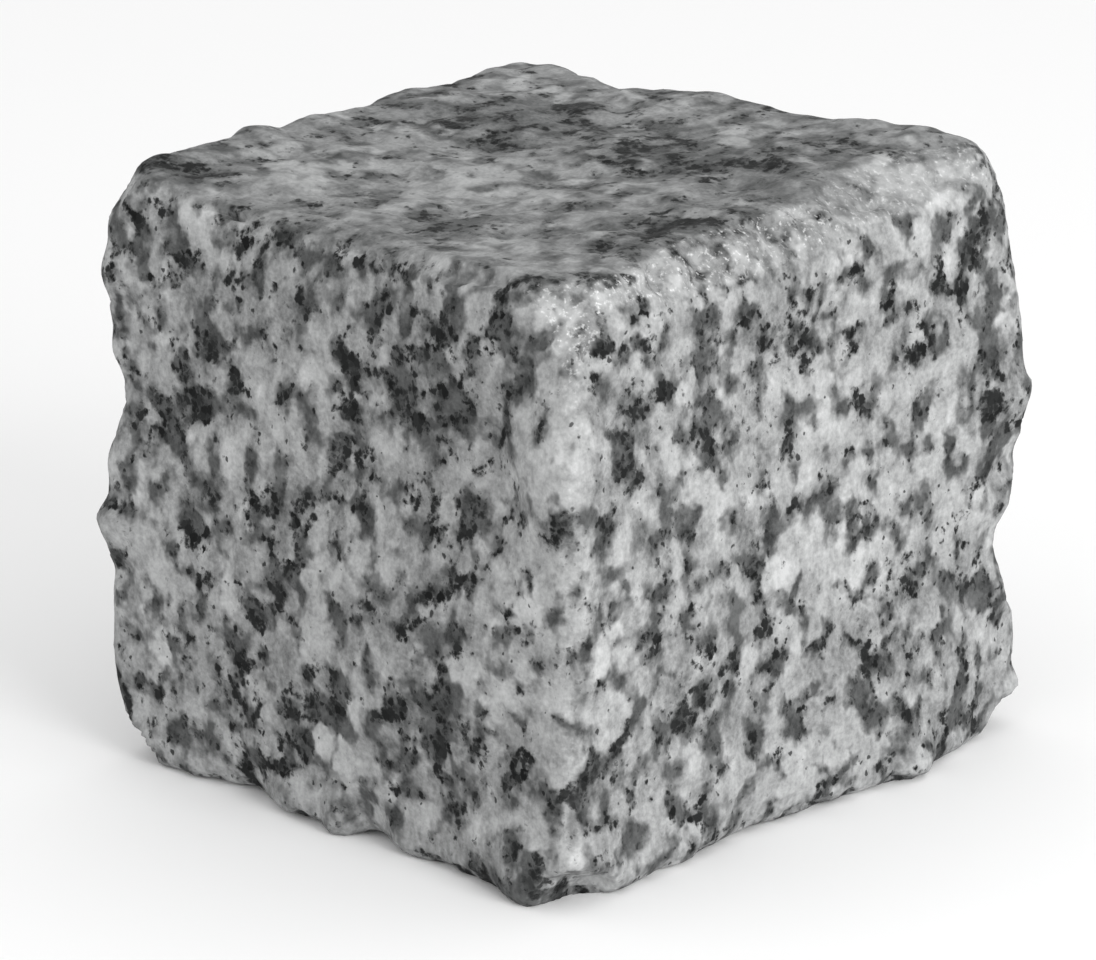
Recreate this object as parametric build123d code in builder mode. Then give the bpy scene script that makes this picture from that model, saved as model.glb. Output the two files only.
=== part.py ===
"""A rough-hewn granite sett: one split block of stone, about a 100 mm cube, for laying as paving.

Five faces are cleft. Each is a spline surface: a plane that leans a little out of square, with broad
knobs and hollows where the stone parted. The sixth face, the bed, is dressed flat. Every arris is worn
round, and spalls have come away from a few arrises and corners.

X is the width, Y the depth and Z the height. The origin is on the bed, under the middle of the block.
"""

import os
from math import exp
from typing import NamedTuple

from build123d import *

# Driving dimensions, in millimetres.
WIDTH = 101.2
DEPTH = 99.2
HEIGHT = 96.0
ARRIS_RADIUS = 3.0

# How far the middle of a cleft face stands out beyond its corners.
SIDE_BELLY = 1.0
TREAD_BELLY = 2.0

# A cleft surface is drawn through a square grid of points, and runs past the block by an overrun.
GRID_POINTS = 17
OVERRUN = 10.0
SURFACE_TOLERANCE = 0.02


class Cleft(NamedTuple):
    """A cleft face, on a plane that points out of the stone. It leans out at its +u and +v ends."""

    plane: Plane
    half_u: float
    half_v: float
    lean_u: float
    lean_v: float
    belly: float


class Knob(NamedTuple):
    """A swelling of the stone, or a hollow if its height is negative."""

    place: tuple[float, float, float]
    reach: float
    height: float


class Spall(NamedTuple):
    """A scoop left by a flake that came away, sunk to a depth below the worn arris."""

    place: tuple[float, float, float]
    facing: tuple[int, int, int]
    radius: float
    depth: float


MID_HEIGHT = HEIGHT / 2
FRONT = Cleft(
    Plane((0, -DEPTH / 2, MID_HEIGHT), x_dir=(1, 0, 0), z_dir=(0, -1, 0)),
    half_u=WIDTH / 2, half_v=MID_HEIGHT, lean_u=1.0, lean_v=-2.0, belly=SIDE_BELLY,
)
RIGHT = Cleft(
    Plane((WIDTH / 2, 0, MID_HEIGHT), x_dir=(0, 1, 0), z_dir=(1, 0, 0)),
    half_u=DEPTH / 2, half_v=MID_HEIGHT, lean_u=0.5, lean_v=0.0, belly=SIDE_BELLY,
)
BACK = Cleft(
    Plane((0, DEPTH / 2, MID_HEIGHT), x_dir=(-1, 0, 0), z_dir=(0, 1, 0)),
    half_u=WIDTH / 2, half_v=MID_HEIGHT, lean_u=-1.5, lean_v=-1.5, belly=SIDE_BELLY,
)
LEFT = Cleft(
    Plane((-WIDTH / 2, 0, MID_HEIGHT), x_dir=(0, -1, 0), z_dir=(-1, 0, 0)),
    half_u=DEPTH / 2, half_v=MID_HEIGHT, lean_u=0.0, lean_v=-0.5, belly=SIDE_BELLY,
)
TREAD = Cleft(
    Plane((0, 0, HEIGHT), x_dir=(1, 0, 0), z_dir=(0, 0, 1)),
    half_u=WIDTH / 2, half_v=DEPTH / 2, lean_u=0.0, lean_v=0.0, belly=TREAD_BELLY,
)
CLEFT_FACES = [FRONT, RIGHT, BACK, LEFT, TREAD]

# Places are shares of the half width, the half depth and the height.
KNOBS = [
    # The upright arris between the left and front faces
    Knob((-1.0, -1.0, 0.85), reach=12, height=1.2),
    Knob((-1.0, -1.0, 0.38), reach=12, height=1.6),
    # The upright arris between the right and back faces
    Knob((1.0, 1.0, 0.62), reach=20, height=2.4),
    # The upright arris between the front and right faces: a lump, with a scallop beside it
    Knob((0.92, -1.0, 0.64), reach=9, height=1.0),
    Knob((0.66, -1.0, 0.65), reach=9, height=-1.4),
    # The foot of the front face
    Knob((-0.45, -1.0, 0.0), reach=12, height=-1.5),
    Knob((-0.2, -1.0, 0.0), reach=12, height=1.6),
    Knob((0.08, -1.0, 0.0), reach=12, height=-0.6),
    Knob((0.4, -1.0, 0.0), reach=12, height=-0.8),
    Knob((0.8, -1.0, 0.0), reach=14, height=2.2),
    # The foot of the right face
    Knob((1.0, -0.3, 0.0), reach=16, height=0.4),
    Knob((1.0, 0.5, 0.05), reach=20, height=3.5),
    # The middles of the faces that show
    Knob((0.3, -1.0, 0.34), reach=20, height=1.4),
    Knob((0.2, -1.0, 0.60), reach=18, height=-1.4),
    Knob((1.0, -0.2, 0.70), reach=22, height=-1.2),
    # The tread: a broad hollow worn towards its front, rises at its back and left, and a low front corner
    Knob((0.1, -0.45, 1.3), reach=45, height=-7.5),
    Knob((-1.0, 1.0, 1.0), reach=14, height=1.6),
    Knob((0.7, 1.0, 1.0), reach=18, height=1.8),
    Knob((-0.1, 1.0, 1.0), reach=14, height=1.1),
    Knob((-1.0, -0.55, 1.0), reach=18, height=2.0),
    Knob((-1.0, 0.2, 1.0), reach=20, height=1.2),
    Knob((1.0, -1.0, 1.0), reach=20, height=-1.4),
    # The faces that are out of sight
    Knob((-0.2, 1.0, 0.35), reach=26, height=1.8),
    Knob((0.4, 1.0, 0.72), reach=20, height=-1.6),
    Knob((-1.0, 0.3, 0.62), reach=24, height=1.6),
    Knob((-1.0, -0.2, 0.25), reach=20, height=-1.8),
]

SPALLS = [
    Spall((-1.0, -1.0, 0.62), facing=(-1, -1, 0), radius=14, depth=3.8),
    Spall((1.0, 1.0, 0.32), facing=(1, 1, 0), radius=22, depth=1.8),
    Spall((-1.0, -1.0, 1.0), facing=(-1, -1, 1), radius=28, depth=6.5),
    # The worn front corner of the tread, and the long flakes off the arrises beside it
    Spall((1.0, -1.0, 1.0), facing=(1, -1, 1), radius=60, depth=11.4),
    Spall((1.0, -0.35, 1.0), facing=(1, 0, 1), radius=140, depth=7.6),
    Spall((1.0, 0.45, 1.0), facing=(1, 0, 2), radius=80, depth=5.4),
    Spall((0.35, -1.0, 1.0), facing=(0, -1, 1), radius=90, depth=7.2),
    # The other corners and arrises
    Spall((1.0, 1.0, 0.97), facing=(1, 1, 1), radius=20, depth=2.8),
    Spall((-1.0, -1.0, 0.0), facing=(-1, -1, -1), radius=20, depth=5.2),
    Spall((1.0, -0.95, 0.0), facing=(1, -1, -1), radius=18, depth=2.6),
    Spall((1.0, 1.0, 0.0), facing=(1, 1, -1), radius=16, depth=2.8),
    Spall((-0.3, 1.0, 0.0), facing=(0, 1, -1), radius=18, depth=2.5),
]


def on_block(place: tuple[float, float, float]) -> Vector:
    """The point at a share of the half width, the half depth and the height."""
    return Vector(place[0] * WIDTH / 2, place[1] * DEPTH / 2, place[2] * HEIGHT)


def relief(point: Vector) -> float:
    """How far the knobs and hollows push the stone's surface out at a point."""
    total = 0.0
    for knob in KNOBS:
        distance = (point - on_block(knob.place)).length
        total += knob.height * exp(-((distance / knob.reach) ** 2))
    return total


def cleft_surface(face: Cleft) -> Face:
    """The spline surface that the stone parted along, with its normal pointing out of the stone."""
    shares = [2 * step / (GRID_POINTS - 1) - 1 for step in range(GRID_POINTS)]
    rows = []
    for share_u in shares:
        u = share_u * (face.half_u + OVERRUN)
        row = []
        for share_v in shares:
            v = share_v * (face.half_v + OVERRUN)
            across, up = u / face.half_u, v / face.half_v
            lean = face.lean_u * across + face.lean_v * up
            fall = face.belly * (across**2 + up**2) / 2
            swell = relief(face.plane.from_local_coords(Vector(u, v, 0)))
            row.append(face.plane.from_local_coords(Vector(u, v, lean - fall + swell)))
        rows.append(row)
    return Face.make_surface_from_array_of_points(rows, tol=SURFACE_TOLERANCE, min_deg=3)


def spall_centre(spall: Spall) -> Vector:
    """The middle of a spall's scoop, outside the stone."""
    facing = Vector(spall.facing).normalized()
    worn_away = ARRIS_RADIUS * (sum(abs(way) for way in facing) - 1)
    return on_block(spall.place) + facing * (spall.radius - spall.depth - worn_away)


os.makedirs("parts", exist_ok=True)

with BuildPart() as granite_sett:
    # The block of stock, with room for the cleft faces on every side.
    with Locations((0, 0, MID_HEIGHT)):
        Box(WIDTH + OVERRUN, DEPTH + OVERRUN, HEIGHT + OVERRUN)
    for face in CLEFT_FACES:
        split(bisect_by=cleft_surface(face), keep=Keep.BOTTOM)
    # The bed, dressed flat.
    split(bisect_by=Plane.XY, keep=Keep.TOP)
    fillet(granite_sett.edges(), radius=ARRIS_RADIUS)
    for spall in SPALLS:
        with Locations(spall_centre(spall)):
            Sphere(spall.radius, mode=Mode.SUBTRACT)

granite_sett.part.label = "granite_sett"
export_step(granite_sett.part, "parts/granite_sett.step")
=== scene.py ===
"""A rough-hewn granite sett, dressed for a studio picture.

The block's mesh is a fine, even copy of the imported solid, with the small relief of split stone on it.
Its colour is worked out through the whole stone, so the grain runs round every arris as it does in rock.
"""

from math import cos, radians, sin
from typing import NamedTuple

import bmesh
import bpy
from bpy.props import FloatProperty, FloatVectorProperty, PointerProperty
from mathutils import Matrix, Vector


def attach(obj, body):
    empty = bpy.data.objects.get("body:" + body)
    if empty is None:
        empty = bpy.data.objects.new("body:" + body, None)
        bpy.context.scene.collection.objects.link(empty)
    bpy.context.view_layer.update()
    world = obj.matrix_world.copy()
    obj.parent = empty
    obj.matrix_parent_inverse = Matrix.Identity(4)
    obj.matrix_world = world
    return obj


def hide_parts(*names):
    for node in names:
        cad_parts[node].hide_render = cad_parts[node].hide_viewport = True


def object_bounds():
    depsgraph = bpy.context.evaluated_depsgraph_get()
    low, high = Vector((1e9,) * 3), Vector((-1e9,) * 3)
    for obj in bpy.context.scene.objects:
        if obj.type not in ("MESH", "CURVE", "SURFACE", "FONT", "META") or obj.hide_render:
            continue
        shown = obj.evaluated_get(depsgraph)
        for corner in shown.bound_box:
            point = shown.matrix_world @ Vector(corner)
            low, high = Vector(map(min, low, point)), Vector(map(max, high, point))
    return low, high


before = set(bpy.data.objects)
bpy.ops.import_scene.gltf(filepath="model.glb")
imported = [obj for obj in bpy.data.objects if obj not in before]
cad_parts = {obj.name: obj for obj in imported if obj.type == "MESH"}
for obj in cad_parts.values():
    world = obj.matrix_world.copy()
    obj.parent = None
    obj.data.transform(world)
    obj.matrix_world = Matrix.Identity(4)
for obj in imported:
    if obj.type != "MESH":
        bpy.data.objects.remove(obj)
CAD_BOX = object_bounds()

bl_info = {
    "name": "Granite sett",
    "version": (1, 0, 0),
    "blender": (4, 5, 0),
    "location": "View3D > Sidebar > Sett",
    "description": "Dresses a hewn granite sett with split-stone relief and mineral grain",
    "category": "Object",
}

STONE_NODE = "granite_sett"
STONE_PIECE = "hewn_sett"

# The middle of what a pattern or a draw of chance gives, which runs from none to one.
MIDDLE = 0.5


def linear(code):
    """The linear colour of an sRGB hex value."""
    shares = [int(code[place:place + 2], 16) / 255 for place in (0, 2, 4)]
    return [s / 12.92 if s <= 0.04045 else ((s + 0.055) / 1.055) ** 2.4 for s in shares]


def opaque(colour):
    """A colour with full alpha, for a node's colour socket."""
    return (*colour, 1.0)


def add_node(tree, kind, inputs=None, **settings):
    """Adds a node. Each input is a value, or the socket that feeds it."""
    node = tree.nodes.new(kind)
    for name, value in settings.items():
        setattr(node, name, value)
    for key, value in (inputs or {}).items():
        if isinstance(value, bpy.types.NodeSocket):
            tree.links.new(value, node.inputs[key])
        else:
            node.inputs[key].default_value = value
    return node


def weighted_sum(tree, start, parts):
    """A start, which is a number or a socket, plus each part times its weight."""
    total = start
    for part, weight in parts:
        total = add_node(
            tree, "ShaderNodeMath", {0: part, 1: weight, 2: total}, operation="MULTIPLY_ADD"
        ).outputs[0]
    return total


# Settings


def length(name, description, default):
    """A size in metres that a user may change."""
    return FloatProperty(
        name=name, description=description, default=default, min=0.0, unit="LENGTH", precision=5
    )


def share(name, description, default):
    """A share from none to all that a user may change."""
    return FloatProperty(
        name=name, description=description, default=default, min=0.0, max=1.0, subtype="FACTOR"
    )


def colour(name, description, code):
    """A colour that a user may change."""
    return FloatVectorProperty(
        name=name, description=description, default=linear(code), size=3, min=0.0, max=1.0, subtype="COLOR"
    )


class SettReliefSettings(bpy.types.PropertyGroup):
    """The small relief that splitting and wear left on the block."""

    mesh_step: length("Mesh step", "Spacing of the mesh's points", 0.00082)
    swell_size: length("Swell size", "Width of the broad swells of a cleft face", 0.016)
    swell_height: length("Swell height", "How far the swells rise and fall", 0.0010)
    flake_size: length("Flake size", "Width of the small flaked hollows", 0.0055)
    flake_depth: length("Flake depth", "How far the flaked hollows sink", 0.0006)
    grain_size: length("Grain size", "Width of the grains that stand proud", 0.0022)
    grain_height: length("Grain height", "How far the grains rise and fall", 0.00015)
    chip_size: length("Chip size", "Width of the chips along the arrises", 0.006)
    chip_depth: length("Chip depth", "How far the chips bite into the arrises", 0.0014)
    drift_size: length("Drift size", "Width of the paler and darker parts of the stone", 0.016)


class SettStoneSettings(bpy.types.PropertyGroup):
    """The minerals of the granite and what wear did to them."""

    feldspar_pale: colour("Pale feldspar", "Brightest cloudy patches", "babbbb")
    feldspar_grey: colour("Grey feldspar", "Darkest cloudy patches", "5c5d5d")
    quartz_light: colour("Light quartz", "Quartz with light ground under it", "5e5f5f")
    quartz_dark: colour("Dark quartz", "Quartz that lets the light through", "353636")
    mica_black: colour("Black mica", "Flakes seen face on, and specks", "121313")
    mica_grey: colour("Grey mica", "Flakes that catch the light", "2a2b2b")
    bruise: colour("Bruise", "Crushed grain along the arrises", "d4d5d5")
    # The glint colour is a painted highlight: white specks that stand in for light off crushed crystals.
    painted_glint: colour("Glint", "Bright faces of crushed crystals", "f4f5f5")
    dust: colour("Dust", "Film of dust on the tread", "5f6060")
    feldspar_size: length("Feldspar size", "Width of a feldspar crystal", 0.0052)
    border_stray: length("Border stray", "How far the crystals' borders stray", 0.0034)
    cloud_size: length("Cloud size", "Width of the clouds in a feldspar crystal", 0.0032)
    quartz_size: length("Quartz size", "Width of a quartz grain", 0.0045)
    cluster_size: length("Cluster size", "Width of a cluster of mica", 0.0058)
    clump_size: length("Clump size", "Width of a clump of flakes in a cluster", 0.0028)
    mica_size: length("Mica size", "Width of a mica flake", 0.0012)
    speck_size: length("Speck size", "Spacing of the fine specks in the feldspar", 0.0016)
    ragged_stray: length("Ragged stray", "How far the edges of small grains stray", 0.0009)
    bruise_size: length("Bruise size", "Width of a bruise on an arris", 0.003)
    grit_size: length("Grit size", "Width of the grit left by splitting", 0.0008)
    grit_height: length("Grit height", "How far the grit rises and falls", 0.0002)
    stretch: FloatProperty(
        name="Stretch", description="How much longer the grains are upright than across",
        default=1.12, min=1.0,
    )
    quartz_share: share("Quartz share", "How readily quartz grows", 0.38)
    mica_share: share("Mica share", "How readily mica grows where it clusters", 0.6)
    dust_share: share("Dust share", "How much the dust on the tread covers", 0.22)


class SettStageSettings(bpy.types.PropertyGroup):
    """The floor and the light."""

    floor: colour("Floor", "Pale studio floor", "f4f4f4")
    floor_width: length("Floor width", "Side of the square floor", 12.0)
    sky: FloatProperty(
        name="Sky", description="Strength of the soft light from all round", default=0.96, min=0.0
    )
    key_power: FloatProperty(
        name="Key power", description="Power of the key light",
        default=8.8, min=0.0, subtype="POWER", unit="POWER",
    )
    key_width: length("Key width", "Side of the square key light", 0.6)
    key_distance: length("Key distance", "How far the key light stands from the block", 1.2)
    key_azimuth: FloatProperty(
        name="Key azimuth", description="Turn of the key light from the front to the right",
        default=radians(80), subtype="ANGLE", unit="ROTATION",
    )
    key_elevation: FloatProperty(
        name="Key elevation", description="Height of the key light",
        default=radians(22), subtype="ANGLE", unit="ROTATION",
    )


# Places on the block


class Patch(NamedTuple):
    """A part of the stone with more of something, or with less of it if the amount is negative.

    Its place is in shares of the box's half width, half depth and height, and its reach is in metres.
    """

    place: tuple[float, float, float]
    reach: tuple[float, float, float]
    amount: float


# A patch fades to nothing at this many times its reach.
PATCH_FADE = 1.5

# Paler and darker parts of the stone, placed where the photograph shows them: partly its own tone, and
# partly painted shade in hollows of the tread and under a step on the front face
PALE_AND_SHADED_PATCHES = [
    # The front face
    Patch((-0.53, -0.95, 0.69), (0.008, 0.010, 0.006), -1.2),
    Patch((-0.17, -0.95, 0.87), (0.016, 0.012, 0.008), -0.6),
    Patch((0.40, -0.95, 0.79), (0.020, 0.012, 0.009), -0.9),
    Patch((0.61, -0.95, 0.67), (0.005, 0.010, 0.009), -1.0),
    Patch((0.32, -0.95, 0.59), (0.006, 0.010, 0.006), -0.8),
    Patch((-0.24, -0.95, 0.50), (0.009, 0.010, 0.006), -0.9),
    Patch((0.47, -0.95, 0.40), (0.022, 0.010, 0.004), -1.1),
    Patch((0.34, -0.95, 0.23), (0.009, 0.010, 0.005), -1.0),
    Patch((-0.28, -0.95, 0.17), (0.008, 0.010, 0.006), -0.8),
    Patch((0.78, -0.95, 0.19), (0.006, 0.010, 0.005), -0.8),
    Patch((0.66, -0.95, 0.02), (0.012, 0.012, 0.007), -1.1),
    Patch((-0.55, -0.95, 0.96), (0.007, 0.010, 0.006), 0.9),
    Patch((-0.32, -0.95, 0.59), (0.014, 0.010, 0.007), 0.6),
    Patch((0.00, -0.95, 0.44), (0.007, 0.010, 0.006), 0.8),
    Patch((0.85, -0.95, 0.69), (0.007, 0.010, 0.007), 1.2),
    Patch((0.81, -0.95, 0.50), (0.011, 0.010, 0.009), 1.3),
    Patch((0.60, -0.95, 0.32), (0.015, 0.010, 0.006), 0.8),
    Patch((0.87, -0.95, 0.27), (0.005, 0.010, 0.009), 0.8),
    Patch((-0.05, -0.93, 0.96), (0.030, 0.007, 0.006), -1.2),
    # The right face
    Patch((0.95, -0.10, 0.83), (0.010, 0.010, 0.008), -0.7),
    Patch((0.95, 0.82, 0.61), (0.010, 0.010, 0.008), -1.0),
    Patch((0.95, -0.37, 0.68), (0.010, 0.006, 0.008), -0.7),
    Patch((0.95, -0.84, 0.55), (0.010, 0.005, 0.006), -0.4),
    Patch((0.95, 0.56, 0.33), (0.010, 0.009, 0.007), -1.0),
    Patch((0.95, 0.27, 0.19), (0.010, 0.011, 0.007), -1.0),
    Patch((0.95, -0.40, 0.34), (0.010, 0.006, 0.008), -0.8),
    Patch((0.95, -0.84, 0.16), (0.010, 0.006, 0.008), -0.8),
    Patch((0.95, 0.07, 0.68), (0.010, 0.009, 0.012), 1.0),
    Patch((0.95, 0.14, 0.43), (0.010, 0.022, 0.010), 1.0),
    Patch((0.95, -0.82, 0.27), (0.010, 0.008, 0.006), 0.7),
    Patch((0.95, 0.07, 0.06), (0.010, 0.010, 0.006), 0.7),
    Patch((0.95, 0.54, 0.95), (0.010, 0.016, 0.007), 0.8),
    Patch((0.95, 0.92, 0.82), (0.010, 0.008, 0.012), 1.0),
    # The tread
    Patch((0.66, -0.22, 0.96), (0.010, 0.009, 0.014), -2.6),
    Patch((0.13, 0.31, 0.97), (0.014, 0.010, 0.014), -2.2),
    Patch((-0.47, 0.35, 0.97), (0.012, 0.014, 0.014), -2.2),
    Patch((0.51, 0.46, 0.97), (0.010, 0.010, 0.014), -1.8),
    Patch((0.11, -0.52, 0.95), (0.009, 0.006, 0.014), -2.0),
    Patch((-0.81, -0.71, 0.97), (0.010, 0.009, 0.014), -1.4),
    Patch((-0.06, -0.25, 0.95), (0.012, 0.008, 0.014), 1.6),
    Patch((0.51, -0.63, 0.95), (0.014, 0.007, 0.014), 1.2),
    Patch((-0.55, -0.40, 0.96), (0.012, 0.008, 0.014), 1.2),
]

# Where the arrises are rubbed pale: the front corner of the tread, and its arris over the right face
RUBBED_PATCHES = [
    Patch((0.90, -0.88, 0.92), (0.014, 0.014, 0.012), 0.7),
    Patch((0.93, -0.32, 0.95), (0.012, 0.030, 0.010), 0.9),
    Patch((0.92, 0.52, 0.97), (0.014, 0.024, 0.010), 0.7),
]

# Teeth and scallops that splitting left, set against the photograph's outline: amounts in metres
DENTS = [
    # The scallop beside the front upright arris, and the lump that it leaves
    Patch((0.58, -0.95, 0.70), (0.004, 0.010, 0.008), -0.0010),
    Patch((0.66, -0.95, 0.61), (0.005, 0.010, 0.006), -0.0010),
    Patch((0.80, -0.95, 0.66), (0.007, 0.010, 0.008), 0.0008),
    # The front of the tread, worn to a slope
    Patch((-0.20, -0.95, 0.97), (0.027, 0.010, 0.009), -0.0024),
    # The left upright arris, from the tread down
    Patch((-0.95, -0.95, 0.82), (0.008, 0.008, 0.0040), 0.0013),
    Patch((-0.95, -0.95, 0.69), (0.008, 0.008, 0.0030), 0.0007),
    Patch((-0.95, -0.95, 0.52), (0.008, 0.008, 0.0045), 0.0010),
    Patch((-0.95, -0.95, 0.41), (0.008, 0.008, 0.0028), 0.0014),
    Patch((-0.95, -0.95, 0.325), (0.008, 0.008, 0.0040), -0.0011),
    Patch((-0.95, -0.95, 0.17), (0.008, 0.008, 0.0055), 0.0013),
    Patch((-0.95, -0.95, 0.05), (0.008, 0.008, 0.0030), 0.0020),
    # The right upright arris, from the bed up
    Patch((0.95, 0.95, 0.065), (0.008, 0.008, 0.0030), 0.0013),
    Patch((0.95, 0.95, 0.26), (0.008, 0.008, 0.0050), 0.0010),
    Patch((0.95, 0.95, 0.40), (0.010, 0.010, 0.0040), 0.0013),
    Patch((0.95, 0.95, 0.47), (0.008, 0.008, 0.0030), -0.0010),
    Patch((0.95, 0.95, 0.58), (0.008, 0.008, 0.0040), 0.0012),
    Patch((0.95, 0.95, 0.98), (0.008, 0.008, 0.0030), 0.0016),
    # The foot of the front face, from the left
    Patch((-0.40, -0.97, 0.02), (0.007, 0.008, 0.0060), -0.0020),
    Patch((0.00, -0.97, 0.02), (0.003, 0.008, 0.0060), 0.0016),
    Patch((0.12, -0.97, 0.02), (0.004, 0.008, 0.0060), -0.0016),
    Patch((0.27, -0.97, 0.02), (0.005, 0.008, 0.0060), 0.0010),
    Patch((0.75, -0.97, 0.02), (0.005, 0.008, 0.0060), 0.0014),
    Patch((0.95, -0.97, 0.02), (0.004, 0.008, 0.0060), 0.0024),
    # The foot of the right face, from the front
    Patch((0.97, -0.20, 0.02), (0.008, 0.007, 0.0060), -0.0014),
    Patch((0.97, 0.43, 0.02), (0.008, 0.004, 0.0060), 0.0020),
    # The back of the tread, from the right
    Patch((0.88, 0.95, 0.98), (0.003, 0.008, 0.0080), 0.0022),
    Patch((0.20, 0.95, 0.98), (0.004, 0.008, 0.0080), 0.0007),
    Patch((0.05, 0.95, 0.98), (0.004, 0.008, 0.0080), 0.0009),
    Patch((-0.50, 0.95, 0.98), (0.006, 0.008, 0.0080), -0.0009),
    Patch((-0.75, 0.95, 0.98), (0.005, 0.008, 0.0080), 0.0013),
    # The left of the tread, from the back
    Patch((-0.95, 0.14, 0.98), (0.008, 0.005, 0.0080), -0.0006),
    Patch((-0.95, -0.30, 0.98), (0.008, 0.004, 0.0080), 0.0010),
]


def on_block(place):
    """The point at a share of the box's half width, half depth and height."""
    low, high = (Vector(corner) for corner in CAD_BOX)
    middle = (low + high) / 2
    half = (high - low) / 2
    return Vector((middle.x + place[0] * half.x, middle.y + place[1] * half.y, place[2] * high.z))


def patchwork(tree, place, patches, everywhere):
    """What the patches add up to at a place, on top of an amount that is everywhere."""
    total = everywhere
    for patch in patches:
        away = add_node(
            tree, "ShaderNodeVectorMath", {0: place, 1: on_block(patch.place)}, operation="SUBTRACT"
        ).outputs[0]
        away = add_node(
            tree, "ShaderNodeVectorMath", {0: away, 1: patch.reach}, operation="DIVIDE"
        ).outputs[0]
        far = add_node(tree, "ShaderNodeVectorMath", {0: away}, operation="LENGTH").outputs["Value"]
        here = add_node(
            tree, "ShaderNodeMapRange",
            {"Value": far, "From Min": PATCH_FADE, "From Max": 0.0, "To Min": 0.0, "To Max": patch.amount},
            interpolation_type="SMOOTHSTEP",
        ).outputs["Result"]
        total = add_node(tree, "ShaderNodeMath", {0: here, 1: total}, operation="ADD").outputs[0]
    return total


# Relief of the split stone

# How squarely the surface faces its way, as a cosine: where an arris or the tread starts, and is full
ARRIS_STARTS = 0.99
ARRIS_FULL = 0.80
TREAD_STARTS = 0.55
TREAD_FULL = 0.95

# How much stronger the swells are on the tread than on the sides.
TREAD_ROLL = 1.8

# How much every arris is rubbed, and how many passes wear the rubbed patches smooth.
RUBBED_EVERYWHERE = 0.08
WEAR_PASSES = 30

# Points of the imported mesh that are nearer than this, in metres, are one point.
MERGE_DISTANCE = 1e-6


def arris_mark(tree, normal):
    """Where the surface faces none of the six ways squarely, as it does along an arris."""
    facing = add_node(tree, "ShaderNodeVectorMath", {0: normal}, operation="ABSOLUTE").outputs[0]
    ways = add_node(tree, "ShaderNodeSeparateXYZ", {0: facing}).outputs
    flattest = ways[0]
    for way in ways[1:]:
        flattest = add_node(tree, "ShaderNodeMath", {0: flattest, 1: way}, operation="MAXIMUM").outputs[0]
    return add_node(
        tree, "ShaderNodeMapRange",
        {"Value": flattest, "From Min": ARRIS_STARTS, "From Max": ARRIS_FULL},
        interpolation_type="SMOOTHSTEP",
    ).outputs["Result"]


def tread_mark(tree, normal):
    """Where the surface faces up, as the tread does."""
    upward = add_node(tree, "ShaderNodeSeparateXYZ", {0: normal}).outputs["Z"]
    return add_node(
        tree, "ShaderNodeMapRange",
        {"Value": upward, "From Min": TREAD_STARTS, "From Max": TREAD_FULL},
        interpolation_type="SMOOTHSTEP",
    ).outputs["Result"]


def pale_and_shade_mark(tree, place, settings):
    """Where the stone is paler, or darker if it is negative: a broad drift of tone, with the patches on it,
    which are partly painted shade.
    """
    drift = add_node(
        tree, "ShaderNodeTexNoise", {"Vector": place, "Scale": 1 / settings.drift_size, "Detail": 1.0}
    ).outputs[0]
    drift = add_node(
        tree, "ShaderNodeMapRange",
        {"Value": drift, "From Min": 0.3, "From Max": 0.7, "To Min": -0.6, "To Max": 0.6},
    ).outputs[0]
    return patchwork(tree, place, PALE_AND_SHADED_PATCHES, everywhere=drift)


def rise_and_fall(tree, pattern, span):
    """A pattern from none to one, made to go half a span above the surface and half a span below it."""
    pattern = add_node(tree, "ShaderNodeMath", {0: pattern, 1: MIDDLE}, operation="SUBTRACT").outputs[0]
    return add_node(tree, "ShaderNodeMath", {0: pattern, 1: span}, operation="MULTIPLY").outputs[0]


def relief_height(tree, place, arris, tread, settings):
    """How far the surface is pushed out at a place."""
    # Broad swells, flaked hollows and proud grains
    swell = add_node(
        tree, "ShaderNodeTexNoise",
        {"Vector": place, "Scale": 1 / settings.swell_size, "Detail": 2.0, "Roughness": 0.6},
    ).outputs[0]
    swell = rise_and_fall(tree, swell, 2 * settings.swell_height)
    rolling = add_node(
        tree, "ShaderNodeMapRange", {"Value": tread, "To Min": 1.0, "To Max": TREAD_ROLL}
    ).outputs[0]
    swell = add_node(tree, "ShaderNodeMath", {0: swell, 1: rolling}, operation="MULTIPLY").outputs[0]
    flake = add_node(
        tree, "ShaderNodeTexVoronoi",
        {"Vector": place, "Scale": 1 / settings.flake_size, "Smoothness": 0.5},
        feature="SMOOTH_F1",
    ).outputs["Distance"]
    flake = rise_and_fall(tree, flake, settings.flake_depth)
    grain = add_node(
        tree, "ShaderNodeTexNoise", {"Vector": place, "Scale": 1 / settings.grain_size, "Detail": 1.0}
    ).outputs[0]
    grain = rise_and_fall(tree, grain, 2 * settings.grain_height)

    # Chips bite only where the noise is high and the surface is an arris.
    chip = add_node(
        tree, "ShaderNodeTexNoise", {"Vector": place, "Scale": 1 / settings.chip_size, "Detail": 1.0}
    ).outputs[0]
    chip = add_node(
        tree, "ShaderNodeMapRange",
        {"Value": chip, "From Min": 0.5, "From Max": 0.75, "To Min": 0.0, "To Max": -settings.chip_depth},
        interpolation_type="SMOOTHSTEP",
    ).outputs["Result"]
    chip = add_node(tree, "ShaderNodeMath", {0: chip, 1: arris}, operation="MULTIPLY").outputs[0]

    rise = patchwork(tree, place, DENTS, everywhere=0.0)
    for part in (swell, flake, grain, chip):
        rise = add_node(tree, "ShaderNodeMath", {0: rise, 1: part}, operation="ADD").outputs[0]
    return rise


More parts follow.
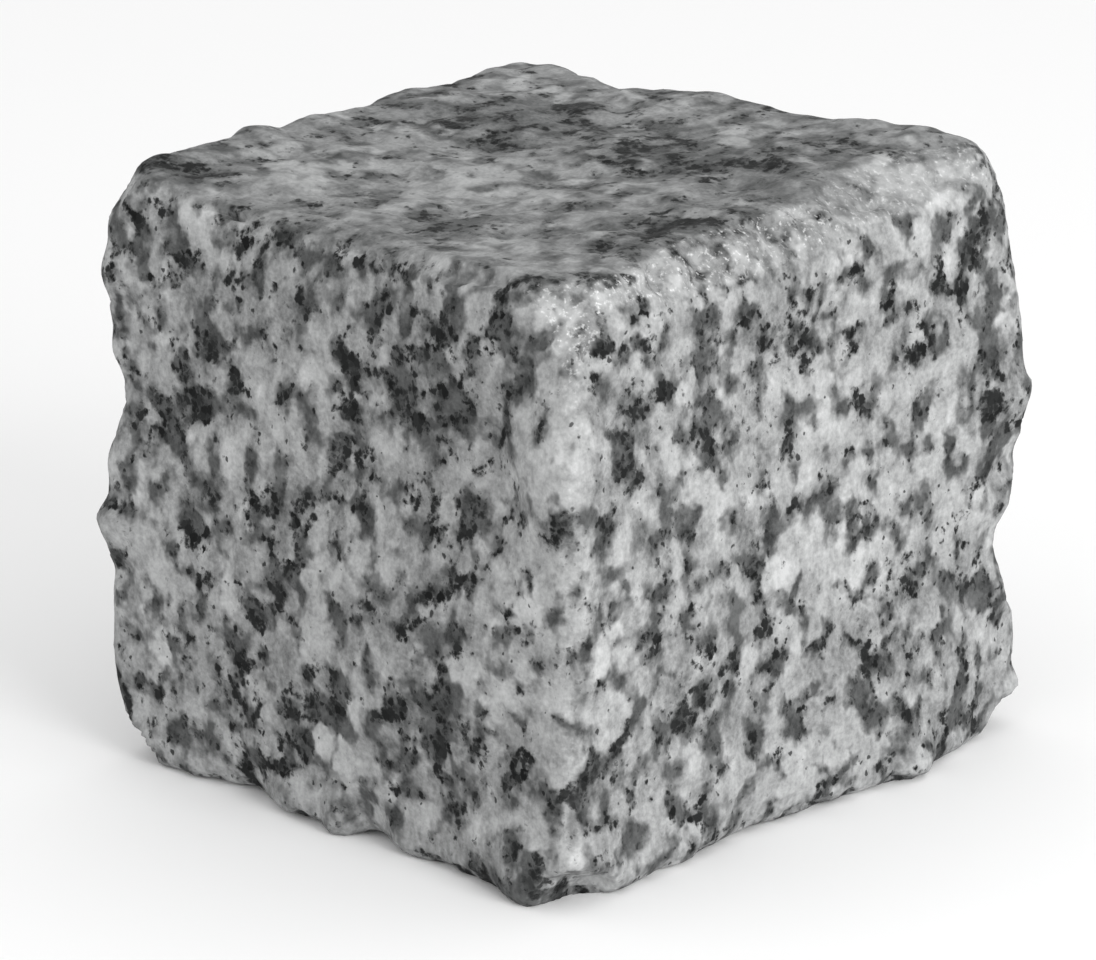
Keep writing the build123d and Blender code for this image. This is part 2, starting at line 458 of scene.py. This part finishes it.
def relief_group(settings):
    """The node group that roughens the block's mesh, and marks what the granite needs to know of it."""
    tree = bpy.data.node_groups.new("cleft relief", "GeometryNodeTree")
    tree.interface.new_socket("Geometry", in_out="INPUT", socket_type="NodeSocketGeometry")
    tree.interface.new_socket("Geometry", in_out="OUTPUT", socket_type="NodeSocketGeometry")
    block = add_node(tree, "NodeGroupInput").outputs[0]
    place = add_node(tree, "GeometryNodeInputPosition").outputs["Position"]
    normal = add_node(tree, "GeometryNodeInputNormal").outputs["Normal"]
    arris = arris_mark(tree, normal)
    tread = tread_mark(tree, normal)

    # The marks are stored before the surface moves, so they stay clean.
    wear = patchwork(tree, place, RUBBED_PATCHES, everywhere=0.0)
    rubbed = add_node(tree, "ShaderNodeMath", {0: wear, 1: RUBBED_EVERYWHERE}, operation="ADD").outputs[0]
    rubbed = add_node(tree, "ShaderNodeMath", {0: rubbed, 1: arris}, operation="MULTIPLY").outputs[0]
    # The pale mark holds the stone's own paler and darker tone, and painted shade where the patches stand
    # for hollows and a step.
    marks = {"pale": pale_and_shade_mark(tree, place, settings), "rubbed": rubbed, "tread": tread}
    for name, value in marks.items():
        block = add_node(
            tree, "GeometryNodeStoreNamedAttribute",
            {"Geometry": block, "Name": name, "Value": value}, data_type="FLOAT", domain="POINT",
        ).outputs[0]

    # The rubbed patches are worn smooth, and then the relief is pushed out along the surface's normal.
    worn = add_node(
        tree, "GeometryNodeBlurAttribute",
        {"Value": place, "Iterations": WEAR_PASSES, "Weight": wear}, data_type="FLOAT_VECTOR",
    ).outputs[0]
    block = add_node(tree, "GeometryNodeSetPosition", {"Geometry": block, "Position": worn}).outputs[0]
    rise = relief_height(tree, place, arris, tread, settings)
    push = add_node(tree, "ShaderNodeVectorMath", {0: normal, "Scale": rise}, operation="SCALE").outputs[0]
    block = add_node(tree, "GeometryNodeSetPosition", {"Geometry": block, "Offset": push}).outputs[0]

    # Nothing goes below the bed, which is dressed flat.
    x, y, z = add_node(tree, "ShaderNodeSeparateXYZ", {0: place}).outputs
    height = add_node(tree, "ShaderNodeMath", {0: z, 1: 0.0}, operation="MAXIMUM").outputs[0]
    bedded = add_node(tree, "ShaderNodeCombineXYZ", {0: x, 1: y, 2: height}).outputs[0]
    block = add_node(tree, "GeometryNodeSetPosition", {"Geometry": block, "Position": bedded}).outputs[0]
    add_node(tree, "NodeGroupOutput", {0: block})
    return tree


def stone_piece(settings):
    """A fine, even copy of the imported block, with its relief applied."""
    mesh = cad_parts[STONE_NODE].data.copy()
    mesh.materials.clear()
    skin = bmesh.new()
    skin.from_mesh(mesh)
    bmesh.ops.remove_doubles(skin, verts=skin.verts, dist=MERGE_DISTANCE)
    skin.to_mesh(mesh)
    skin.free()
    piece = bpy.data.objects.new(STONE_PIECE, mesh)
    bpy.context.scene.collection.objects.link(piece)

    even = piece.modifiers.new("even mesh", "REMESH")
    even.mode = "VOXEL"
    even.voxel_size = settings.mesh_step
    rough = piece.modifiers.new("cleft relief", "NODES")
    rough.node_group = relief_group(settings)
    graph = bpy.context.evaluated_depsgraph_get()
    finished = bpy.data.meshes.new_from_object(
        piece.evaluated_get(graph), preserve_all_data_layers=True, depsgraph=graph
    )
    piece.modifiers.clear()
    piece.data = finished
    finished.name = STONE_PIECE
    finished.shade_smooth()
    return piece


# The granite

# A mineral is there where its growth passes an edge, and its share brings that edge down.
QUARTZ_EDGE = 0.65
QUARTZ_DROP = 0.36
MICA_EDGE = 0.93
MICA_DROP = 0.2


class Ground(NamedTuple):
    """What every mineral is drawn on: places in the stone, the marks on its surface, and its grit."""

    place: bpy.types.NodeSocket
    stone: bpy.types.NodeSocket
    broad: bpy.types.NodeSocket
    fine: bpy.types.NodeSocket
    pale: bpy.types.NodeSocket
    rubbed: bpy.types.NodeSocket
    tread: bpy.types.NodeSocket
    grit: bpy.types.NodeSocket
    sparkle: bpy.types.NodeSocket


class Crystals(NamedTuple):
    """The feldspar's crystals: two draws of chance for each, the way to its border, and its inside."""

    tone: bpy.types.NodeSocket
    luck: bpy.types.NodeSocket
    border: bpy.types.NodeSocket
    inner: bpy.types.NodeSocket


def straying(tree, place, size, reach):
    """Places that stray from their true ones, so that what is drawn on them gets ragged edges."""
    stray = add_node(
        tree, "ShaderNodeTexNoise", {"Vector": place, "Scale": 1 / size, "Detail": 1.0}
    ).outputs["Color"]
    stray = add_node(
        tree, "ShaderNodeVectorMath", {0: stray, 1: (MIDDLE,) * 3}, operation="SUBTRACT"
    ).outputs[0]
    return add_node(
        tree, "ShaderNodeVectorMath", {0: stray, 1: (reach,) * 3, 2: place}, operation="MULTIPLY_ADD"
    ).outputs[0]


def worn_step(tree, value, tread, edge, fresh, worn):
    """None below an edge and all above it, with a change between that is softer on the worn tread."""
    lower = add_node(
        tree, "ShaderNodeMapRange", {"Value": tread, "To Min": edge - fresh, "To Max": edge - worn}
    ).outputs[0]
    upper = add_node(
        tree, "ShaderNodeMapRange", {"Value": tread, "To Min": edge + fresh, "To Max": edge + worn}
    ).outputs[0]
    return add_node(
        tree, "ShaderNodeMapRange", {"Value": value, "From Min": lower, "From Max": upper},
        interpolation_type="SMOOTHSTEP",
    ).outputs["Result"]


def stone_ground(tree, settings):
    """The places, marks and grit that the minerals share.

    Crystal borders stray in a broad way, and the edges of small grains in a fine way. The grit gives each
    mineral its sparkle, and mica its ragged edges.
    """
    place = add_node(tree, "ShaderNodeTexCoord").outputs["Object"]
    stone = add_node(
        tree, "ShaderNodeMapping", {"Vector": place, "Scale": (1, 1, 1 / settings.stretch)}
    ).outputs[0]
    # The pale mark is partly the stone's tone and partly painted shade.
    marks = {
        name: add_node(tree, "ShaderNodeAttribute", attribute_name=name).outputs["Fac"]
        for name in ("pale", "rubbed", "tread")
    }
    grit = add_node(
        tree, "ShaderNodeTexNoise",
        {"Vector": place, "Scale": 1 / settings.grit_size, "Detail": 2.0, "Roughness": 0.6},
    ).outputs[0]
    sparkle = add_node(tree, "ShaderNodeMath", {0: grit, 1: MIDDLE}, operation="SUBTRACT").outputs[0]
    return Ground(
        place=place,
        stone=stone,
        broad=straying(tree, stone, size=settings.cloud_size, reach=settings.border_stray),
        fine=straying(tree, stone, size=settings.ragged_stray, reach=settings.ragged_stray),
        grit=grit,
        sparkle=sparkle,
        **marks,
    )


def feldspar_crystals(tree, settings, ground):
    """The crystals that fill the stone."""
    cells = {"Vector": ground.broad, "Scale": 1 / settings.feldspar_size}
    draw = add_node(tree, "ShaderNodeTexVoronoi", cells).outputs["Color"]
    draw = add_node(tree, "ShaderNodeSeparateColor", {0: draw}).outputs
    border = add_node(tree, "ShaderNodeTexVoronoi", cells, feature="DISTANCE_TO_EDGE").outputs["Distance"]
    inner = add_node(
        tree, "ShaderNodeMapRange", {"Value": border, "From Min": 0.0, "From Max": 0.25},
        interpolation_type="SMOOTHSTEP",
    ).outputs["Result"]
    return Crystals(tone=draw[0], luck=draw[1], border=border, inner=inner)


def feldspar_clouds(tree, settings, ground):
    """The clouds that drift across the crystals."""
    cloud = add_node(
        tree, "ShaderNodeTexNoise",
        {"Vector": ground.fine, "Scale": 1 / settings.cloud_size, "Detail": 3.0, "Roughness": 0.6},
    ).outputs[0]
    return add_node(
        tree, "ShaderNodeMapRange", {"Value": cloud, "From Min": 0.29, "From Max": 0.71}
    ).outputs[0]


def feldspar_colour(tree, settings, ground, crystals, cloud):
    """Feldspar: each crystal has a tone of its own, which fades at its border, and clouds drift over it."""
    tone = add_node(
        tree, "ShaderNodeMix", {"Factor": crystals.inner, "A": MIDDLE, "B": crystals.tone}, data_type="FLOAT"
    ).outputs["Result"]
    clear = add_node(
        tree, "ShaderNodeMapRange", {"Value": ground.tread, "To Min": 0.5, "To Max": 0.75}
    ).outputs[0]
    pallor = add_node(
        tree, "ShaderNodeMix", {"Factor": clear, "A": cloud, "B": tone}, data_type="FLOAT"
    ).outputs["Result"]
    pallor = weighted_sum(tree, pallor, [(ground.pale, 0.2), (ground.sparkle, 0.7)])
    tones = {"A": opaque(settings.feldspar_grey), "B": opaque(settings.feldspar_pale)}
    return add_node(tree, "ShaderNodeMix", {"Factor": pallor, **tones}, data_type="RGBA").outputs["Result"]


def quartz_growth(tree, settings, ground, crystals):
    """Quartz fills the room between the crystals, and a few crystals are quartz right through."""
    room = add_node(
        tree, "ShaderNodeTexNoise",
        {"Vector": ground.fine, "Scale": 1 / settings.quartz_size, "Detail": 2.0},
    ).outputs[0]
    whole = add_node(tree, "ShaderNodeMath", {0: crystals.luck, 1: MIDDLE}, operation="SUBTRACT").outputs[0]
    whole = add_node(tree, "ShaderNodeMath", {0: whole, 1: crystals.inner}, operation="MULTIPLY").outputs[0]
    room = weighted_sum(tree, room, [(crystals.border, -0.16), (whole, 0.34), (ground.pale, -0.05)])
    edge = QUARTZ_EDGE - QUARTZ_DROP * settings.quartz_share
    return worn_step(tree, room, ground.tread, edge, fresh=0.12, worn=0.22)


def quartz_colour(tree, settings, ground, cloud, cluster):
    """Quartz is clear, so it takes its tone from what lies under it, and is darkest by the mica."""
    light = weighted_sum(tree, 0.4, [(cluster, -0.8), (cloud, 1.0), (ground.sparkle, 1.2)])
    tones = {"A": opaque(settings.quartz_dark), "B": opaque(settings.quartz_light)}
    return add_node(tree, "ShaderNodeMix", {"Factor": light, **tones}, data_type="RGBA").outputs["Result"]


def mica_flakes(tree, settings, ground, cluster, quartz_here):
    """Where mica is, and its colour: flakes in clumps, thick where they cluster and against quartz."""
    flake = add_node(tree, "ShaderNodeTexVoronoi", {"Vector": ground.fine, "Scale": 1 / settings.mica_size})
    luck = add_node(tree, "ShaderNodeSeparateColor", {0: flake.outputs["Color"]}).outputs
    crowd = add_node(
        tree, "ShaderNodeTexNoise",
        {"Vector": ground.place, "Scale": 1 / settings.clump_size, "Detail": 4.0, "Roughness": 0.65},
    ).outputs[0]
    grown = weighted_sum(tree, 0.0, [
        (crowd, 0.7), (cluster, 0.6), (quartz_here, 0.14), (ground.pale, -0.06), (ground.tread, -0.02),
        (luck[0], 0.14), (flake.outputs["Distance"], -0.2), (ground.sparkle, 0.35),
    ])
    edge = MICA_EDGE - MICA_DROP * settings.mica_share
    here = worn_step(tree, grown, ground.tread, edge, fresh=0.085, worn=0.11)
    tones = {"A": opaque(settings.mica_black), "B": opaque(settings.mica_grey)}
    mica = add_node(tree, "ShaderNodeMix", {"Factor": luck[1], **tones}, data_type="RGBA").outputs["Result"]
    return here, mica


def mica_specks(tree, settings, ground):
    """Fine specks of mica in the feldspar, fainter on the tread."""
    speck = add_node(tree, "ShaderNodeTexVoronoi", {"Vector": ground.fine, "Scale": 1 / settings.speck_size})
    chance = add_node(tree, "ShaderNodeSeparateColor", {0: speck.outputs["Color"]}).outputs[0]
    reach = add_node(
        tree, "ShaderNodeMapRange",
        {"Value": chance, "From Min": 0.7, "From Max": 1.0, "To Min": 0.0, "To Max": 0.28},
    ).outputs[0]
    inside = add_node(
        tree, "ShaderNodeMath", {0: reach, 1: speck.outputs["Distance"]}, operation="SUBTRACT"
    ).outputs[0]
    strength = add_node(
        tree, "ShaderNodeMapRange", {"Value": ground.tread, "To Min": 0.85, "To Max": 0.4}
    ).outputs[0]
    return add_node(
        tree, "ShaderNodeMapRange",
        {"Value": inside, "From Min": -0.02, "From Max": 0.08, "To Max": strength},
        interpolation_type="SMOOTHSTEP",
    ).outputs["Result"]


def crushed_grain(tree, settings, ground):
    """Where the rubbed arrises are crushed."""
    crushed = add_node(
        tree, "ShaderNodeTexNoise",
        {"Vector": ground.stone, "Scale": 1 / settings.bruise_size, "Detail": 4.0},
    ).outputs[0]
    crushed = add_node(
        tree, "ShaderNodeMapRange", {"Value": crushed, "From Min": 0.4, "From Max": 0.65, "To Max": 0.6}
    ).outputs[0]
    return add_node(tree, "ShaderNodeMath", {0: crushed, 1: ground.rubbed}, operation="MULTIPLY").outputs[0]


def painted_glints(tree, ground):
    """Painted highlights where the crushed crystals of the rubbed arrises would catch the light."""
    glint_highlight = add_node(
        tree, "ShaderNodeMapRange", {"Value": ground.grit, "From Min": 0.58, "From Max": 0.80}
    ).outputs[0]
    return add_node(tree, "ShaderNodeMath", {0: glint_highlight, 1: ground.rubbed}, operation="MULTIPLY").outputs[0]


def granite_material(settings):
    """Cleft grey granite, coarse-grained and matt.

    The eye sees cloudy pale feldspar, grey glassy quartz between its crystals, and ragged black mica in
    clusters. Crushed grain makes some arrises paler, glints are painted highlights on them, some darker
    patches are painted shade, and dust dulls the tread.
    """
    material = bpy.data.materials.new("cleft grey granite")
    material.use_nodes = True
    tree = material.node_tree
    tree.nodes.clear()
    ground = stone_ground(tree, settings)
    crystals = feldspar_crystals(tree, settings, ground)
    cloud = feldspar_clouds(tree, settings, ground)
    cluster = add_node(
        tree, "ShaderNodeTexNoise",
        {"Vector": ground.stone, "Scale": 1 / settings.cluster_size, "Detail": 2.0},
    ).outputs[0]

    quartz_here = quartz_growth(tree, settings, ground, crystals)
    mica_here, mica = mica_flakes(tree, settings, ground, cluster, quartz_here)
    specks = mica_specks(tree, settings, ground)
    dark_here = add_node(tree, "ShaderNodeMath", {0: mica_here, 1: specks}, operation="MAXIMUM").outputs[0]
    dusty = add_node(
        tree, "ShaderNodeMath", {0: ground.tread, 1: settings.dust_share}, operation="MULTIPLY"
    ).outputs[0]

    # Each layer lies over those before it: mica shows through the dust, crushed grain covers them all, and
    # the painted highlights of the glints lie on top.
    layers = [
        (quartz_here, quartz_colour(tree, settings, ground, cloud, cluster)),
        (dusty, opaque(settings.dust)),
        (dark_here, mica),
        (crushed_grain(tree, settings, ground), opaque(settings.bruise)),
        (painted_glints(tree, ground), opaque(settings.painted_glint)),
    ]
    rock = feldspar_colour(tree, settings, ground, crystals, cloud)
    for cover, finish in layers:
        rock = add_node(
            tree, "ShaderNodeMix", {"Factor": cover, "A": rock, "B": finish}, data_type="RGBA"
        ).outputs["Result"]

    # Quartz and mica are glossier than feldspar, and grit too fine for the mesh is bump.
    gloss = add_node(tree, "ShaderNodeMath", {0: quartz_here, 1: mica_here}, operation="MAXIMUM").outputs[0]
    roughness = add_node(
        tree, "ShaderNodeMapRange", {"Value": gloss, "To Min": 0.8, "To Max": 0.6}
    ).outputs[0]
    bump = add_node(
        tree, "ShaderNodeBump", {"Strength": 0.5, "Distance": settings.grit_height, "Height": ground.grit}
    ).outputs[0]
    sheen = {"Roughness": roughness, "IOR": 1.54, "Specular IOR Level": 0.05}
    surface = add_node(
        tree, "ShaderNodeBsdfPrincipled", {"Base Color": rock, "Normal": bump, **sheen}
    ).outputs[0]
    add_node(tree, "ShaderNodeOutputMaterial", {"Surface": surface})
    return material


# The stage

# The photograph's frame, in pixels, and the width of the film that stands for it, in millimetres.
FRAME_WIDTH = 1096
FILM_WIDTH = 36.0

# Where the photograph was taken from, fitted to the block's outline: a long lens, a little rolled.
FOCAL_PIXELS = 4600
VIEW_AZIMUTH = radians(43.36)
VIEW_ELEVATION = radians(17.58)
VIEW_ROLL = radians(-1.45)
VIEW_DISTANCE = 0.716
VIEW_SLIDE = Vector((-0.00112, -0.0045))
VIEW_TARGET = Vector((0, 0, 0.048))


def floor_material(settings):
    """Matt painted studio floor, plain and pale."""
    material = bpy.data.materials.new("matt painted floor")
    material.use_nodes = True
    tree = material.node_tree
    tree.nodes.clear()
    surface = add_node(
        tree, "ShaderNodeBsdfPrincipled", {"Base Color": opaque(settings.floor), "Roughness": 0.9}
    ).outputs[0]
    add_node(tree, "ShaderNodeOutputMaterial", {"Surface": surface})
    return material


def towards(azimuth, elevation):
    """The direction that stands at a turn from the front to the right, and at a height."""
    return Vector((sin(azimuth) * cos(elevation), -cos(azimuth) * cos(elevation), sin(elevation)))


def add_floor(settings):
    """The floor under the block's bed."""
    mesh = bpy.data.meshes.new("floor")
    sheet = bmesh.new()
    bmesh.ops.create_grid(sheet, x_segments=1, y_segments=1, size=settings.floor_width / 2)
    sheet.to_mesh(mesh)
    sheet.free()
    mesh.materials.append(floor_material(settings))
    floor = bpy.data.objects.new("floor", mesh)
    bpy.context.scene.collection.objects.link(floor)


def add_light(settings):
    """A low key light to the right, and soft light from all round."""
    scene = bpy.context.scene
    world = bpy.data.worlds.new("soft white room")
    world.use_nodes = True
    background = world.node_tree.nodes["Background"].inputs
    background["Color"].default_value = (1, 1, 1, 1)
    background["Strength"].default_value = settings.sky
    scene.world = world
    lamp = bpy.data.lights.new("key light", "AREA")
    lamp.energy = settings.key_power
    lamp.size = settings.key_width
    key = bpy.data.objects.new("key light", lamp)
    back = towards(settings.key_azimuth, settings.key_elevation)
    key.location = VIEW_TARGET + back * settings.key_distance
    key.rotation_euler = back.to_track_quat("Z", "Y").to_euler()
    scene.collection.objects.link(key)


def add_camera():
    """The camera at the photograph's viewing angle."""
    back = towards(VIEW_AZIMUTH, VIEW_ELEVATION)
    level = Vector((cos(VIEW_AZIMUTH), sin(VIEW_AZIMUTH), 0))
    upright = back.cross(level)
    right = cos(VIEW_ROLL) * level + sin(VIEW_ROLL) * upright
    up = cos(VIEW_ROLL) * upright - sin(VIEW_ROLL) * level
    lens = bpy.data.cameras.new("camera")
    lens.sensor_fit = "HORIZONTAL"
    lens.sensor_width = FILM_WIDTH
    lens.lens = FOCAL_PIXELS * FILM_WIDTH / FRAME_WIDTH
    camera = bpy.data.objects.new("camera", lens)
    spot = VIEW_TARGET + back * VIEW_DISTANCE + right * VIEW_SLIDE.x + up * VIEW_SLIDE.y
    turn = Matrix((right, up, back)).transposed()
    camera.matrix_world = Matrix.Translation(spot) @ turn.to_4x4()
    bpy.context.scene.collection.objects.link(camera)
    bpy.context.scene.camera = camera


# Operators and panel


class SETT_OT_stone(bpy.types.Operator):
    """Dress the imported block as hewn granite"""

    bl_idname = "sett.stone"
    bl_label = "Hewn Stone"

    def execute(self, context):
        piece = stone_piece(context.scene.sett_relief)
        piece.data.materials.append(granite_material(context.scene.sett_stone))
        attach(piece, "root")
        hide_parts(STONE_NODE)
        return {"FINISHED"}


class SETT_OT_stage(bpy.types.Operator):
    """Set the floor, the light and the camera"""

    bl_idname = "sett.stage"
    bl_label = "Studio Stage"

    def execute(self, context):
        add_floor(context.scene.sett_stage)
        add_light(context.scene.sett_stage)
        add_camera()
        context.scene.view_settings.view_transform = "Standard"
        return {"FINISHED"}


class SETT_PT_panel(bpy.types.Panel):
    """The sett's settings and operators"""

    bl_idname = "SETT_PT_panel"
    bl_label = "Granite Sett"
    bl_space_type = "VIEW_3D"
    bl_region_type = "UI"
    bl_category = "Sett"

    def draw(self, context):
        for group in (context.scene.sett_relief, context.scene.sett_stone, context.scene.sett_stage):
            box = self.layout.box()
            for name in group.__annotations__:
                box.prop(group, name)
        self.layout.operator(SETT_OT_stone.bl_idname)
        self.layout.operator(SETT_OT_stage.bl_idname)


CLASSES = (
    SettReliefSettings, SettStoneSettings, SettStageSettings, SETT_OT_stone, SETT_OT_stage, SETT_PT_panel,
)


def register():
    """Adds the settings, the operators and the panel."""
    for each in CLASSES:
        bpy.utils.register_class(each)
    bpy.types.Scene.sett_relief = PointerProperty(type=SettReliefSettings)
    bpy.types.Scene.sett_stone = PointerProperty(type=SettStoneSettings)
    bpy.types.Scene.sett_stage = PointerProperty(type=SettStageSettings)


def unregister():
    """Takes them away again."""
    del bpy.types.Scene.sett_stage
    del bpy.types.Scene.sett_stone
    del bpy.types.Scene.sett_relief
    for each in reversed(CLASSES):
        bpy.utils.unregister_class(each)


def main():
    """Builds the dressed sett and its stage."""
    register()
    bpy.ops.sett.stone()
    bpy.ops.sett.stage()


if __name__ == "__main__":
    main()
